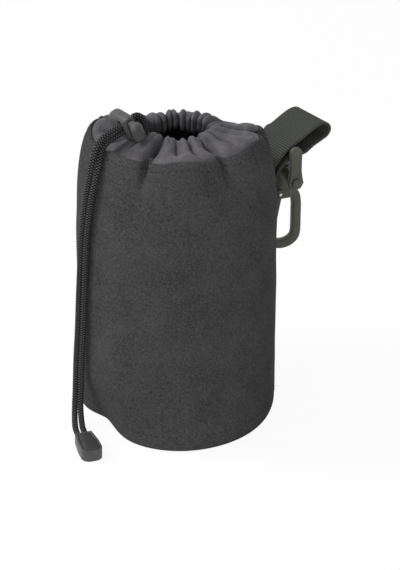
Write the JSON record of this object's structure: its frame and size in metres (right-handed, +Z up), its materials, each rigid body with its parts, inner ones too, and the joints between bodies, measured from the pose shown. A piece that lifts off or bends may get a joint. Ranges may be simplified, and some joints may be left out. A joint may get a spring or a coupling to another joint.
{
  "type": "lens pouch",
  "caption": "Padded round drawstring pouch for a camera lens, with a gathered collar, sprung cord lock, cord end, and a webbing loop that carries a swivel snap hook.",
  "frame": {"origin": "centre of the base's underside, on the surface that the pouch stands on", "axes": "+Z up along the pouch, +Y to the back with the webbing loop, -Y to the front where the drawcord comes out, +X to the cord lock's plunger"},
  "size_m": [0.1, 0.1587, 0.1683],
  "materials": {
    "padded_cloth": "dark grey neoprene with a short knit face",
    "collar_cloth": "grey thin woven nylon",
    "binding_tape": "black woven tape",
    "cord": "black braided cord",
    "webbing": "dark grey ribbed webbing",
    "thread": "black sewing thread",
    "black_plastic": "black moulded plastic, fine grain",
    "hook_plastic": "black moulded plastic with a faint olive tone",
    "spring_steel": "plain steel wire"
  },
  "bodies": {
    "pouch": {"body_wall": "padded_cloth", "base_disc": "padded_cloth", "base_binding": "binding_tape", "back_seam_tape": "binding_tape", "collar": "collar_cloth", "drawcord_hoop": "cord", "drawcord_free_left": "cord", "drawcord_free_right": "cord", "cord_end_tray": "black_plastic", "cord_end_cover": "black_plastic", "strap": "webbing", "strap_tack_lower": "thread", "strap_tack_upper": "thread"},
    "lock": {"lock_housing": "black_plastic", "lock_spring": "spring_steel"},
    "plunger": {"lock_plunger": "black_plastic"},
    "bail": {"hook_bail": "hook_plastic", "bail_pin_right": "hook_plastic", "bail_pin_left": "hook_plastic"},
    "yoke": {"hook_yoke": "hook_plastic"},
    "hook": {"hook_frame": "hook_plastic", "gate_pin": "spring_steel"},
    "gate": {"hook_gate": "hook_plastic"}
  },
  "joints": [
    {"name": "lock_slide", "type": "slide", "parent": "pouch", "child": "lock", "axis": [0, -0.9272, -0.3746], "range_m": [0, 0.006]},
    {"name": "plunger_press", "type": "slide", "parent": "lock", "child": "plunger", "axis": [-1, 0, 0], "range_m": [0, 0.0024], "stiffness_N_per_m": 400, "springref_m": -0.004, "deforming": ["lock_spring"]},
    {"name": "bail_swing", "type": "hinge", "parent": "pouch", "child": "bail", "pos_m": [0, 0.0655, 0.12905], "axis": [0.9759, -0.2181, 0], "range_deg": [-2, 45]},
    {"name": "yoke_pivot", "type": "hinge", "parent": "bail", "child": "yoke", "pos_m": [0, 0.0655, 0.11305], "axis": [0.9759, -0.2181, 0], "range_deg": [-2, 40]},
    {"name": "hook_swivel", "type": "hinge", "parent": "yoke", "child": "hook", "pos_m": [0, 0.0655, 0.1], "axis": [0, 0, 1], "continuous": true},
    {"name": "gate_swing", "type": "hinge", "parent": "hook", "child": "gate", "pos_m": [-0.00048, 0.06335, 0.10115], "axis": [0.9759, -0.2181, 0], "range_deg": [0, 20], "stiffness_Nm_per_rad": 0.02, "springref_deg": -11.46}
  ]
}
